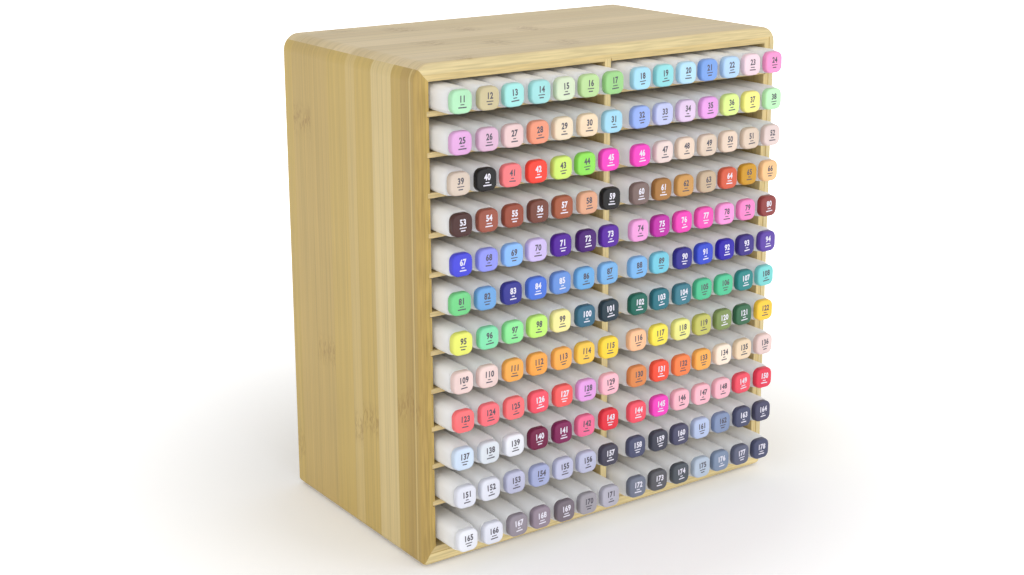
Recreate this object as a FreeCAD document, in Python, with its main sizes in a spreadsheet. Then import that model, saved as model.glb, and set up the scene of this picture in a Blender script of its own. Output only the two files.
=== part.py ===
import FreeCAD, Part

import math
import os

import Sketcher

# Revolving marker cabinet: a mitred bamboo case with an inner liner, eleven shelves halved into
# a centre divider, a panel on each bay's floor, a ball-bearing turntable let into its underside,
# and 24 sets of seven markers.
# Millimetres. +Z is up, -Y is the open front, and the origin is the centre of the face that the
# turntable's pad rests on, which is also on the axis that the cabinet spins about.

DIMENSIONS = {
    # case: four mitred boards, rounded along their long outer corners
    "case_width": 272.0,
    "case_depth": 157.0,
    "case_height": 300.0,
    "floor_gap": 1.2,
    "side_thickness": 5.0,
    "top_thickness": 6.4,
    "base_thickness": 7.0,
    "corner_radius": 10.4,
    "foot_radius": 3.5,
    "edge_radius": 2.3,
    # liner, back panel, divider and shelves
    "liner_thickness": 4.0,
    "liner_setback": 0.4,
    "back_thickness": 5.5,
    "back_play": 0.1,
    "divider_thickness": 4.8,
    "shelf_thickness": 3.2,
    "shelf_count": 11,
    "row_pitch": 23.3,
    "first_row_height": 16.8,
    "shelf_setback": 1.0,
    "floor_panel_thickness": 2.2,
    "floor_panel_setback": 8.0,
    "shelf_rounding": 0.5,
    "groove_depth": 1.4,
    "groove_play": 0.05,
    # markers
    "marker_side": 15.0,
    "marker_corner": 4.3,
    "marker_bevel": 0.9,
    "barrel_length": 150.6,
    "plug_side": 13.0,
    "plug_corner": 4.2,
    "plug_length": 4.4,
    "plug_rounding": 1.0,
    "marker_lift": 0.05,
    "markers_per_set": 7,
    # turntable
    "pad_radius": 60.0,
    "pad_thickness": 1.0,
    "plate_radius": 64.0,
    "plate_thickness": 1.5,
    "plate_gap": 1.6,
    "recess_radius": 66.0,
    "race_radius": 50.0,
    "ball_radius": 1.6,
    "ball_play": 0.08,
    "ball_count": 20,
    "cage_width": 7.0,
    "cage_thickness": 0.8,
    "cage_hole_radius": 1.75,
    # centre rivet and its washer
    "rivet_radius": 3.0,
    "rivet_play": 0.08,
    "rivet_head_radius": 6.0,
    "rivet_head_height": 0.7,
    "rivet_seat_play": 0.3,
    "rivet_pocket_radius": 9.0,
    "washer_thickness": 0.3,
    "washer_gap": 0.1,
    # screws that hold the upper plate, and the hole that lets a driver reach them
    "screw_circle": 34.0,
    "screw_count": 4,
    "screw_first_angle": 45.0,
    "screw_radius": 1.5,
    "screw_length": 6.5,
    "screw_head_radius": 2.8,
    "screw_tip": 1.2,
    "screw_cross_arm": 1.7,
    "screw_cross_width": 0.7,
    "screw_cross_depth": 0.7,
    "screw_play": 0.05,
    "access_radius": 4.5,
    # brads that hold the back panel to the liner
    "brad_radius": 0.6,
    "brad_length": 14.0,
    "brad_head_radius": 1.1,
    "brad_head_height": 0.4,
    "brad_play": 0.05,
    "brad_point_room": 0.5,
    "brad_column": 70.0,
    # how far a cutter runs past the face that it opens
    "overshoot": 0.5,
}

# How far each set of markers stands out of the case, from the top row down.
REACHES = {
    "left": (20.5, 19.5, 18.0, 19.5, 18.5, 17.5, 18.5, 19.0, 20.0, 19.5, 20.5, 22.5),
    "right": (18.5, 19.0, 19.0, 19.0, 18.0, 18.5, 18.5, 18.5, 19.5, 19.5, 20.0, 20.5),
}
for side, reaches in REACHES.items():
    for number, reach in enumerate(reaches, start=1):
        DIMENSIONS[f"{side}_reach_{number:02d}"] = reach

# Coordinates closer than this are taken as the same when edges are picked out.
TOLERANCE = 0.001

doc = FreeCAD.newDocument("marker_cabinet")
sheet = doc.addObject("Spreadsheet::Sheet", "dims")
for row, (alias, number) in enumerate(DIMENSIONS.items(), start=1):
    sheet.set(f"A{row}", alias)
    sheet.set(f"B{row}", str(number))
    sheet.setAlias(f"B{row}", alias)
doc.recompute()

# Heights and spacings that several pieces share, as formulas of the sheet's cells.
LINER_BOTTOM = "(dims.floor_gap + dims.base_thickness)"
BAY_FLOOR = f"({LINER_BOTTOM} + dims.liner_thickness)"
LINER_HEIGHT = "(dims.case_height - dims.top_thickness - dims.base_thickness)"
INNER_HEIGHT = f"({LINER_HEIGHT} - 2 * dims.liner_thickness)"
LINER_WIDTH = "(dims.case_width - 2 * dims.side_thickness)"
INNER_WIDTH = f"({LINER_WIDTH} - 2 * dims.liner_thickness)"
SHELF_SPAN = "(dims.row_pitch * (dims.shelf_count - 1))"
LOWEST_SHELF = f"({INNER_HEIGHT} - dims.first_row_height - dims.shelf_thickness - {SHELF_SPAN})"
BAY_WIDTH = f"(({INNER_WIDTH} - dims.divider_thickness) / 2)"
PANEL_FRONT = "(dims.case_depth / 2 - dims.back_thickness)"
LINER_DEPTH = "(dims.case_depth - dims.back_thickness - dims.liner_setback)"
SHELF_DEPTH = "(dims.case_depth - dims.back_thickness - dims.shelf_setback)"
SHELF_SLOT = "(dims.shelf_thickness + 2 * dims.groove_play)"
DIVIDER_SLOT = "(dims.divider_thickness + 2 * dims.groove_play)"
LOWER_PLATE_TOP = "(dims.pad_thickness + dims.plate_thickness)"
UPPER_PLATE_BOTTOM = f"({LOWER_PLATE_TOP} + dims.plate_gap)"
UPPER_PLATE_TOP = f"({UPPER_PLATE_BOTTOM} + dims.plate_thickness)"
BALL_HEIGHT = f"({LOWER_PLATE_TOP} + dims.plate_gap / 2)"


def value(formula):
    """The number that a formula of the sheet's cells gives."""
    return float(sheet.evalExpression(formula))


def bind(thing, **formulas):
    """Bind properties to formulas; a double underscore in a name stands for a dot."""
    for name, formula in formulas.items():
        thing.setExpression(name.replace("__", "."), formula)


def place(thing, x="0", y="0", z="0"):
    bind(thing, Placement__Base__x=x, Placement__Base__y=y, Placement__Base__z=z)


def new_body(label):
    body = doc.addObject("PartDesign::Body", label)
    body.Label = label
    return body


def new_sketch(body, plane, height="0"):
    """A sketch on one of the body's origin planes, raised along the plane's normal."""
    sketch = body.newObject("Sketcher::SketchObject", f"{body.Name}_sketch")
    features = body.Origin.OriginFeatures
    support = next(feature for feature in features if feature.Role == plane)
    sketch.AttachmentSupport = [(support, "")]
    sketch.MapMode = "FlatFace"
    sketch.setExpression("AttachmentOffset.Base.z", height)
    return sketch


def fix_point(sketch, geometry, vertex, x, y):
    """Tie a sketch point to formulas for its two coordinates."""
    for kind, formula in (("DistanceX", x), ("DistanceY", y)):
        constraint = Sketcher.Constraint(kind, -1, 1, geometry, vertex, value(formula))
        number = sketch.addConstraint(constraint)
        sketch.setExpression(f"Constraints[{number}]", formula)


def polygon(sketch, corners):
    """A closed outline whose corners are pairs of formulas."""
    spots = [FreeCAD.Vector(value(x), value(y), 0) for x, y in corners]
    lines = []
    for start, end in zip(spots, spots[1:] + spots[:1]):
        lines.append(sketch.addGeometry(Part.LineSegment(start, end), False))
    for line, following in zip(lines, lines[1:] + lines[:1]):
        sketch.addConstraint(Sketcher.Constraint("Coincident", line, 2, following, 1))
    for line, (x, y) in zip(lines, corners):
        fix_point(sketch, line, 1, x, y)


def rectangle(sketch, left, bottom, right, top):
    polygon(sketch, [(left, bottom), (right, bottom), (right, top), (left, top)])


def circle(sketch, x, y, radius):
    centre = FreeCAD.Vector(value(x), value(y), 0)
    ring = sketch.addGeometry(Part.Circle(centre, FreeCAD.Vector(0, 0, 1), value(radius)), False)
    fix_point(sketch, ring, 3, x, y)
    number = sketch.addConstraint(Sketcher.Constraint("Radius", ring, value(radius)))
    sketch.setExpression(f"Constraints[{number}]", radius)


def pad(body, sketch, length):
    feature = body.newObject("PartDesign::Pad", f"{body.Name}_pad")
    feature.Profile = sketch
    bind(feature, Length=length)
    sketch.Visibility = False
    doc.recompute()
    return feature


def pocket(body, sketch, length, reverse=False):
    """Cut a sketch into the body, and make sure that it took material away."""
    before = body.Shape.Volume
    feature = body.newObject("PartDesign::Pocket", f"{body.Name}_pocket")
    feature.Profile = sketch
    feature.Reversed = reverse
    bind(feature, Length=length)
    doc.recompute()
    if feature.Shape.Volume >= before:
        raise ValueError(f"{feature.Name} cuts nothing")
    return feature


def repeat(body, kind, feature, axis, count, span):
    """Repeat a cut in a line or round an axis."""
    pattern = body.newObject(f"PartDesign::{kind}Pattern", f"{body.Name}_pattern")
    pattern.Originals = [feature]
    bind(pattern, Occurrences=count)
    if kind == "Linear":
        pattern.Direction = axis
        bind(pattern, Length=span)
    else:
        pattern.Axis = axis
        bind(pattern, Angle=span)
    body.Tip = pattern
    doc.recompute()
    return pattern


def revolve(body, corners):
    """Turn an outline given as radius and height about the vertical axis."""
    sketch = new_sketch(body, "XZ_Plane")
    polygon(sketch, corners)
    feature = body.newObject("PartDesign::Revolution", f"{body.Name}_turned")
    feature.Profile = sketch
    feature.ReferenceAxis = (sketch, ["V_Axis"])
    feature.Angle = 360.0
    doc.recompute()
    return feature


def edge_names(shape, wanted):
    """Names of the edges whose bounding boxes pass a test."""
    return [f"Edge{i}" for i, edge in enumerate(shape.Edges, start=1) if wanted(edge.BoundBox)]


def soften(body, feature, wanted, radius, kind="Fillet"):
    """Fillet or chamfer the edges of the body that pass a test."""
    softened = body.newObject(f"PartDesign::{kind}", f"{body.Name}_{kind.lower()}")
    softened.Base = (feature, edge_names(feature.Shape, wanted))
    bind(softened, **{"Radius" if kind == "Fillet" else "Size": radius})
    doc.recompute()
    return softened


def near(first, second):
    return abs(first - second) < TOLERANCE


def flat_at(axis, level):
    """A test for edges that lie wholly in one plane across an axis."""
    return lambda box: near(getattr(box, f"{axis}Min"), level) and near(getattr(box, f"{axis}Max"), level)


def cylinder(label, radius, height, x="0", y="0", z="0"):
    solid = doc.addObject("Part::Cylinder", label)
    bind(solid, Radius=radius, Height=height)
    place(solid, x, y, z)
    return solid


def cut(label, base, tools):
    """Take several tools away from a solid."""
    tool = tools[0]
    if len(tools) > 1:
        tool = doc.addObject("Part::MultiFuse", f"{label}_tools")
        tool.Shapes = tools
    result = doc.addObject("Part::Cut", label)
    result.Base = base
    result.Tool = tool
    result.Label = label
    doc.recompute()
    return result


def group(label, shapes):
    """Separate copies of solids that share one node."""
    result = doc.addObject("Part::Feature", label)
    result.Shape = Part.makeCompound(shapes)
    result.Label = label
    return result


def ring_spots(radius, count, first_degrees=0.0):
    """Points evenly spaced round the spin axis."""
    spots = []
    for index in range(count):
        angle = math.radians(first_degrees + 360.0 * index / count)
        spots.append(FreeCAD.Vector(radius * math.cos(angle), radius * math.sin(angle), 0))
    return spots


def screw_spot(index):
    """Formulas for the place of one of the turntable's screws."""
    angle = f"(dims.screw_first_angle + 360 * {index} / dims.screw_count)"
    return f"dims.screw_circle * cos({angle})", f"dims.screw_circle * sin({angle})"


def moved(shape, offset):
    copy = shape.copy()
    copy.translate(offset)
    return copy


# ---------------------------------------------------------------------------
# Case: one rounded tube, cut into four boards along its mitres
# ---------------------------------------------------------------------------

BOARD_CORNERS = {
    "outer": {
        "left": "-dims.case_width / 2",
        "right": "dims.case_width / 2",
        "bottom": "0",
        "top": "dims.case_height",
    },
    "inner": {
        "left": f"-{LINER_WIDTH} / 2",
        "right": f"{LINER_WIDTH} / 2",
        "bottom": "dims.base_thickness",
        "top": "dims.case_height - dims.top_thickness",
    },
}


def case_tube():
    """The whole case as a rectangular tube, back rim at the local origin, open towards -Y."""
    body = new_body("case_tube")
    sketch = new_sketch(body, "XZ_Plane")
    for edge in BOARD_CORNERS.values():
        rectangle(sketch, edge["left"], edge["bottom"], edge["right"], edge["top"])
    tube = pad(body, sketch, "dims.case_depth")
    half_width = value("dims.case_width / 2")
    depth = value("dims.case_depth")
    height = value("dims.case_height")

    def long_outer(box, level):
        at_side = near(abs(box.XMin), half_width) and near(box.XMin, box.XMax)
        return at_side and flat_at("Z", level)(box) and near(box.YLength, depth)

    shouldered = soften(body, tube, lambda box: long_outer(box, height), "dims.corner_radius")
    rounded = soften(body, shouldered, lambda box: long_outer(box, 0), "dims.foot_radius")
    inner_half = value(f"{LINER_WIDTH} / 2")
    sill = value("dims.base_thickness")
    lintel = height - value("dims.top_thickness")

    def outer_rim(box):
        on_rim = near(box.YMin, box.YMax)
        within_width = max(abs(box.XMin), abs(box.XMax)) <= inner_half + TOLERANCE
        within_height = box.ZMin >= sill - TOLERANCE and box.ZMax <= lintel + TOLERANCE
        return on_rim and not (within_width and within_height)

    soften(body, rounded, outer_rim, "dims.edge_radius")
    place(body, y="dims.case_depth / 2", z="dims.floor_gap")
    return body


def mitred_board(label, tube, first, second):
    """The part of the tube between two mitres; the arguments name the mitres' corners."""
    outer = BOARD_CORNERS["outer"]
    inner = BOARD_CORNERS["inner"]
    wedge = new_body(f"{label}_wedge")
    sketch = new_sketch(wedge, "XZ_Plane")
    outline = [(outer[x], outer[z]) for x, z in (first, second)]
    outline += [(inner[x], inner[z]) for x, z in (second, first)]
    polygon(sketch, outline)
    pad(wedge, sketch, "dims.case_depth")
    place(wedge, y="dims.case_depth / 2", z="dims.floor_gap")
    board = doc.addObject("Part::Common", label)
    board.Base = tube
    board.Tool = wedge
    board.Label = label
    return board


def bottom_board(tube):
    """The bottom board, let in from below for the turntable."""
    blank = mitred_board("bottom_blank", tube, ("left", "bottom"), ("right", "bottom"))
    recess = cylinder(
        "turntable_recess", "dims.recess_radius", f"{UPPER_PLATE_TOP} - dims.floor_gap", z="dims.floor_gap"
    )
    pocket_hole = cylinder("rivet_pocket", "dims.rivet_pocket_radius", LINER_BOTTOM)
    return cut("bottom_board", blank, [recess, pocket_hole] + pilot_holes("board_pilot"))


def pilot_holes(label):
    """Holes for the turntable's screws, through the bottom board into the liner."""
    holes = []
    for index in range(DIMENSIONS["screw_count"]):
        x, y = screw_spot(index)
        hole = cylinder(
            f"{label}_{index + 1}",
            "dims.screw_radius + dims.screw_play",
            "dims.screw_length + dims.screw_play",
            x,
            y,
            UPPER_PLATE_BOTTOM,
        )
        holes.append(hole)
    return holes


# ---------------------------------------------------------------------------
# Liner, back panel, divider and shelves
# ---------------------------------------------------------------------------

# Rows, counted from the top, whose mid-height has a brad in each side liner, clear of the shelves.
BRADDED_ROWS = (2, 7, 11)
BRAD_HOLE = "dims.brad_radius + dims.brad_play"
BRAD_DEPTH_IN_LINER = "dims.brad_length - dims.back_thickness + dims.brad_point_room"


def row_floor(row):
    """The height that a row of markers lies at, as a formula; row 1 is at the top."""
    if row > DIMENSIONS["shelf_count"]:
        return f"({BAY_FLOOR} + dims.floor_panel_thickness)"
    rise = f"(dims.shelf_count - {row}) * dims.row_pitch"
    return f"({BAY_FLOOR} + {LOWEST_SHELF} + dims.shelf_thickness + {rise})"


def brad_spots():
    """Where the brads enter the liner's back edge, by liner board, as x and height pairs."""
    across = value(f"({LINER_WIDTH} - dims.liner_thickness) / 2")
    low = value(f"{LINER_BOTTOM} + dims.liner_thickness / 2")
    high = value(f"{LINER_BOTTOM} + {LINER_HEIGHT} - dims.liner_thickness / 2")
    above_shelf = value("(dims.row_pitch - dims.shelf_thickness) / 2")
    heights = [value(row_floor(row)) + above_shelf for row in BRADDED_ROWS]
    columns = (-value("dims.brad_column"), value("dims.brad_column"))
    return {
        "left": [(-across, level) for level in heights],
        "right": [(across, level) for level in heights],
        "bottom": [(column, low) for column in columns],
        "top": [(column, high) for column in columns],
    }


def drill(body, spots, radius, depth):
    """Drill round holes into a board's back face."""
    sketch = new_sketch(body, "XZ_Plane")
    for x, level in spots:
        circle(sketch, str(x), f"{level} - {LINER_BOTTOM}", radius)
    return pocket(body, sketch, depth, reverse=True)


def side_liner(side, sign):
    """An upright liner board with a groove for each shelf."""
    body = new_body(f"{side}_liner")
    outside = f"{sign} * {LINER_WIDTH} / 2"
    inside = f"{sign} * {INNER_WIDTH} / 2"
    sketch = new_sketch(body, "XZ_Plane")
    polygon(
        sketch,
        [
            (outside, "0"),
            (inside, "dims.liner_thickness"),
            (inside, f"{LINER_HEIGHT} - dims.liner_thickness"),
            (outside, LINER_HEIGHT),
        ],
    )
    pad(body, sketch, LINER_DEPTH)
    drill(body, brad_spots()[side], BRAD_HOLE, BRAD_DEPTH_IN_LINER)
    groove = new_sketch(body, "XZ_Plane")
    lowest = f"dims.liner_thickness + {LOWEST_SHELF} - dims.groove_play"
    rectangle(
        groove,
        f"{sign} * ({INNER_WIDTH} / 2 - dims.overshoot)",
        lowest,
        f"{sign} * ({INNER_WIDTH} / 2 + dims.groove_depth)",
        f"{lowest} + {SHELF_SLOT}",
    )
    cut_groove = pocket(body, groove, "dims.case_depth", reverse=True)
    repeat(body, "Linear", cut_groove, (groove, ["V_Axis"]), "dims.shelf_count", SHELF_SPAN)
    place(body, y=PANEL_FRONT, z=LINER_BOTTOM)
    return body


def level_liner(side, outer, inner):
    """A top or bottom liner board with a groove for the divider."""
    body = new_body(f"{side}_liner" if side == "top" else "bottom_liner_blank")
    sketch = new_sketch(body, "XZ_Plane")
    polygon(
        sketch,
        [
            (f"-{LINER_WIDTH} / 2", outer),
            (f"{LINER_WIDTH} / 2", outer),
            (f"{INNER_WIDTH} / 2", inner),
            (f"-{INNER_WIDTH} / 2", inner),
        ],
    )
    pad(body, sketch, LINER_DEPTH)
    drill(body, brad_spots()[side], BRAD_HOLE, BRAD_DEPTH_IN_LINER)
    groove = new_sketch(body, "XZ_Plane")
    toward_board = "1" if side == "top" else "-1"
    rectangle(
        groove,
        f"-{DIVIDER_SLOT} / 2",
        f"{inner} - {toward_board} * dims.overshoot",
        f"{DIVIDER_SLOT} / 2",
        f"{inner} + {toward_board} * dims.groove_depth",
    )
    pocket(body, groove, "dims.case_depth", reverse=True)
    place(body, y=PANEL_FRONT, z=LINER_BOTTOM)
    return body


def back_panel():
    """The back panel, set inside the case's back rim."""
    body = new_body("back_panel")
    sketch = new_sketch(body, "XZ_Plane")
    half = f"({LINER_WIDTH} / 2 - dims.back_play)"
    rectangle(sketch, f"-{half}", "dims.back_play", half, f"{LINER_HEIGHT} - dims.back_play")
    pad(body, sketch, "dims.back_thickness")
    spots = [spot for side in brad_spots().values() for spot in side]
    drill(body, spots, BRAD_HOLE, "dims.back_thickness")
    drill(body, spots, "dims.brad_head_radius + dims.brad_play", "dims.brad_head_height")
    place(body, y="dims.case_depth / 2", z=LINER_BOTTOM)
    return body


def divider():
    """The upright centre board, slotted from the back at each shelf."""
    body = new_body("centre_divider")
    half = "dims.divider_thickness / 2"
    sketch = new_sketch(body, "XZ_Plane")
    rectangle(
        sketch,
        f"-{half}",
        "dims.groove_play - dims.groove_depth",
        half,
        f"{INNER_HEIGHT} + dims.groove_depth - dims.groove_play",
    )
    board = pad(body, sketch, SHELF_DEPTH)
    front = -value(SHELF_DEPTH)
    thickness = value("dims.divider_thickness")
    soften(
        body,
        board,
        lambda box: flat_at("Y", front)(box) and box.ZLength > thickness,
        "dims.shelf_rounding",
    )
    slot = new_sketch(body, "XZ_Plane")
    lowest = f"{LOWEST_SHELF} - dims.groove_play"
    rectangle(slot, "-dims.divider_thickness", lowest, "dims.divider_thickness", f"{lowest} + {SHELF_SLOT}")
    cut_slot = pocket(body, slot, f"{SHELF_DEPTH} / 2", reverse=True)
    repeat(body, "Linear", cut_slot, (slot, ["V_Axis"]), "dims.shelf_count", SHELF_SPAN)
    place(body, y=PANEL_FRONT, z=BAY_FLOOR)
    return body


def shelf(number):
    """A full-width shelf, slotted from the front to straddle the divider."""
    body = new_body(f"shelf_{number:02d}")
    half = f"({INNER_WIDTH} / 2 + dims.groove_depth - dims.groove_play)"
    slot = f"{DIVIDER_SLOT} / 2"
    slot_end = f"-{SHELF_DEPTH} / 2"
    sketch = new_sketch(body, "XY_Plane")
    polygon(
        sketch,
        [
            (f"-{half}", "0"),
            (f"-{half}", f"-{SHELF_DEPTH}"),
            (f"-{slot}", f"-{SHELF_DEPTH}"),
            (f"-{slot}", slot_end),
            (slot, slot_end),
            (slot, f"-{SHELF_DEPTH}"),
            (half, f"-{SHELF_DEPTH}"),
            (half, "0"),
        ],
    )
    board = pad(body, sketch, "dims.shelf_thickness")
    front = -value(SHELF_DEPTH)
    thickness = value("dims.shelf_thickness")
    soften(
        body,
        board,
        lambda box: flat_at("Y", front)(box) and box.XLength > thickness,
        "dims.shelf_rounding",
    )
    place(body, y=PANEL_FRONT, z=f"{row_floor(number)} - dims.shelf_thickness")
    return body


def floor_panel(side, sign):
    """The panel under the lowest row in one bay, its front set back behind the markers."""
    body = new_body(f"floor_panel_{side}")
    half = f"({BAY_WIDTH} / 2 - dims.groove_play)"
    sketch = new_sketch(body, "XY_Plane")
    rectangle(sketch, f"-{half}", f"dims.floor_panel_setback - {SHELF_DEPTH}", half, "0")
    pad(body, sketch, "dims.floor_panel_thickness")
    place(body, f"{sign} * (dims.divider_thickness + {BAY_WIDTH}) / 2", PANEL_FRONT, BAY_FLOOR)
    return body


def brads():
    """All the back panel's brads, heads flush with its back face."""
    master = new_body("brad_pattern")
    revolve(
        master,
        [
            ("0", "0"),
            ("dims.brad_head_radius", "0"),
            ("dims.brad_head_radius", "dims.brad_head_height"),
            ("dims.brad_radius", "dims.brad_head_height"),
            ("dims.brad_radius", "dims.brad_length - 2 * dims.brad_radius"),
            ("0", "dims.brad_length"),
        ],
    )
    lying = master.Shape.copy()
    lying.rotate(FreeCAD.Vector(0, 0, 0), FreeCAD.Vector(1, 0, 0), 90)
    back = value("dims.case_depth / 2")
    spots = [spot for side in brad_spots().values() for spot in side]
    return group("back_panel_brads", [moved(lying, FreeCAD.Vector(x, back, level)) for x, level in spots])


# ---------------------------------------------------------------------------
# Turntable
# ---------------------------------------------------------------------------


def race(label):
    """The ring that the balls run in, with its play."""
    torus = doc.addObject("Part::Torus", label)
    bind(torus, Radius1="dims.race_radius", Radius2="dims.ball_radius + dims.ball_play")
    place(torus, z=BALL_HEIGHT)
    return torus


def plate(label, bottom, bore, more_tools):
    """A round plate with a ball race and a centre bore."""
    disc = cylinder(f"{label}_disc", "dims.plate_radius", "dims.plate_thickness", z=bottom)
    hole = cylinder(
        f"{label}_bore", bore, "dims.plate_thickness + 2 * dims.overshoot", z=f"{bottom} - dims.overshoot"
    )
    return cut(label, disc, [race(f"{label}_race"), hole] + more_tools)


def access_hole(label, bottom, thickness):
    """The hole through a disc that a screwdriver reaches one plate screw by."""
    return cylinder(
        label,
        "dims.access_radius",
        f"{thickness} + 2 * dims.overshoot",
        "dims.screw_circle",
        z=f"{bottom} - dims.overshoot",
    )


def anti_slip_pad():
    """The rubber disc under the lower plate, pocketed for the rivet's head."""
    disc = cylinder("pad_disc", "dims.pad_radius", "dims.pad_thickness")
    seat = cylinder(
        "pad_rivet_seat",
        "dims.rivet_head_radius + dims.rivet_seat_play",
        "dims.pad_thickness",
        z="dims.pad_thickness - dims.rivet_head_height",
    )
    return cut("anti_slip_pad", disc, [seat, access_hole("pad_access", "0", "dims.pad_thickness")])


def lower_plate():
    access = access_hole("plate_access", "dims.pad_thickness", "dims.plate_thickness")
    return plate("turntable_lower_plate", "dims.pad_thickness", "dims.rivet_radius", [access])


def upper_plate():
    """The plate that turns with the case, countersunk from below for its screws."""
    tools = []
    for index in range(DIMENSIONS["screw_count"]):
        sink = doc.addObject("Part::Cone", f"countersink_{index + 1}")
        bind(
            sink,
            Radius1="dims.screw_head_radius + dims.screw_play",
            Radius2="dims.screw_radius + dims.screw_play",
            Height="dims.screw_head_radius - dims.screw_radius",
        )
        x, y = screw_spot(index)
        place(sink, x, y, UPPER_PLATE_BOTTOM)
        tools.append(sink)
    tools += pilot_holes("plate_screw_hole")
    return plate("turntable_upper_plate", UPPER_PLATE_BOTTOM, "dims.rivet_radius + dims.rivet_play", tools)


def centre_rivet():
    """The rivet that holds the two plates together and carries the spin."""
    body = new_body("centre_rivet")
    low = "dims.pad_thickness - dims.rivet_head_height"
    washer_top = f"{UPPER_PLATE_TOP} + dims.washer_gap + dims.washer_thickness"
    revolve(
        body,
        [
            ("0", low),
            ("dims.rivet_head_radius", low),
            ("dims.rivet_head_radius", "dims.pad_thickness"),
            ("dims.rivet_radius", "dims.pad_thickness"),
            ("dims.rivet_radius", washer_top),
            ("dims.rivet_head_radius", washer_top),
            ("dims.rivet_head_radius", f"{washer_top} + dims.rivet_head_height"),
            ("0", f"{washer_top} + dims.rivet_head_height"),
        ],
    )
    place(body)
    return body


def rivet_washer():
    """The nylon washer under the rivet's upper head."""
    height = f"{UPPER_PLATE_TOP} + dims.washer_gap"
    disc = cylinder("washer_disc", "dims.rivet_head_radius", "dims.washer_thickness", z=height)
    bore = cylinder(
        "washer_bore",
        "dims.rivet_radius + dims.rivet_play",
        "dims.washer_thickness + 2 * dims.overshoot",
        z=f"{height} - dims.overshoot",
    )
    return cut("rivet_washer", disc, [bore])


def ball_cage():
    """The ring that keeps the balls apart."""
    body = new_body("ball_cage")
    sketch = new_sketch(body, "XY_Plane")
    circle(sketch, "0", "0", "dims.race_radius + dims.cage_width / 2")
    circle(sketch, "0", "0", "dims.race_radius - dims.cage_width / 2")
    pad(body, sketch, "dims.cage_thickness")
    hole = new_sketch(body, "XY_Plane")
    circle(hole, "dims.race_radius", "0", "dims.cage_hole_radius")
    cut_hole = pocket(body, hole, "dims.cage_thickness", reverse=True)
    repeat(body, "Polar", cut_hole, (hole, ["N_Axis"]), "dims.ball_count", "360")
    place(body, z=f"{BALL_HEIGHT} - dims.cage_thickness / 2")
    return body


def bearing_balls():
    ball = Part.makeSphere(value("dims.ball_radius"))
    spots = ring_spots(value("dims.race_radius"), DIMENSIONS["ball_count"])
    balls = group("bearing_balls", [moved(ball, spot) for spot in spots])
    balls.Placement.Base = FreeCAD.Vector(0, 0, value(BALL_HEIGHT))
    return balls


def plate_screws():
    """Countersunk cross-head screws, heads down in the upper plate."""
    master = new_body("screw_pattern")
    revolve(
        master,
        [
            ("0", "0"),
            ("dims.screw_head_radius", "0"),
            ("dims.screw_radius", "dims.screw_head_radius - dims.screw_radius"),
            ("dims.screw_radius", "dims.screw_length - dims.screw_tip"),
            ("0", "dims.screw_length"),
        ],
    )
    arm = "dims.screw_cross_arm"
    half = "(dims.screw_cross_width / 2)"
    cross = new_sketch(master, "XY_Plane")
    polygon(
        cross,
        [
            (f"-{half}", f"-{arm}"),
            (half, f"-{arm}"),
            (half, f"-{half}"),
            (arm, f"-{half}"),
            (arm, half),
            (half, half),
            (half, arm),
            (f"-{half}", arm),
            (f"-{half}", half),
            (f"-{arm}", half),
            (f"-{arm}", f"-{half}"),
            (f"-{half}", f"-{half}"),
        ],
    )
    pocket(master, cross, "dims.screw_cross_depth", reverse=True)
    count = DIMENSIONS["screw_count"]
    spots = ring_spots(value("dims.screw_circle"), count, value("dims.screw_first_angle"))
    screws = group("plate_screws", [moved(master.Shape, spot) for spot in spots])
    screws.Placement.Base = FreeCAD.Vector(0, 0, value(UPPER_PLATE_BOTTOM))
    return screws


# ---------------------------------------------------------------------------
# Markers
# ---------------------------------------------------------------------------


def rounded_bar(label, side, corner, length):
    """A square bar with rounded corners, from the local origin towards -Y."""
    body = new_body(label)
    sketch = new_sketch(body, "XZ_Plane")
    rectangle(sketch, f"-{side} / 2", "0", f"{side} / 2", side)
    bar = pad(body, sketch, length)
    return body, soften(body, bar, lambda box: near(box.YLength, value(length)), corner)


def barrel():
    """A marker's barrel with its cap, bevelled at both ends."""
    body, bar = rounded_bar("barrel_pattern", "dims.marker_side", "dims.marker_corner", "dims.barrel_length")
    soften(body, bar, lambda box: near(box.YMin, box.YMax), "dims.marker_bevel", "Chamfer")
    return body.Shape


def plug():
    """The coloured plug in the end of a marker's cap."""
    body, bar = rounded_bar("plug_pattern", "dims.plug_side", "dims.plug_corner", "dims.plug_length")
    soften(body, bar, flat_at("Y", -value("dims.plug_length")), "dims.plug_rounding")
    return body.Shape


def marker_set(row, side, barrel_shape, plug_shape):
    """Seven markers side by side in one bay; row 1 is at the top."""
    pitch = value(BAY_WIDTH) / DIMENSIONS["markers_per_set"]
    plug_rise = value("(dims.marker_side - dims.plug_side) / 2")
    plug_offset = FreeCAD.Vector(0, -value("dims.barrel_length"), plug_rise)
    pieces = []
    for column in range(DIMENSIONS["markers_per_set"]):
        across = FreeCAD.Vector((column + 0.5) * pitch, 0, 0)
        pieces.append(moved(barrel_shape, across))
        pieces.append(moved(plug_shape, across + plug_offset))
    markers = group(f"marker_set_{row:02d}_{side}", pieces)
    left_edge = -value(f"{INNER_WIDTH} / 2") if side == "left" else value("dims.divider_thickness / 2")
    marker_front = f"(dims.case_depth / 2 + dims.{side}_reach_{row:02d})"
    marker_back = value(f"dims.barrel_length + dims.plug_length - {marker_front}")
    floor = value(f"{row_floor(row)} + dims.marker_lift")
    markers.Placement.Base = FreeCAD.Vector(left_edge, marker_back, floor)
    return markers


# ---------------------------------------------------------------------------
# Assembly and export
# ---------------------------------------------------------------------------


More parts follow.
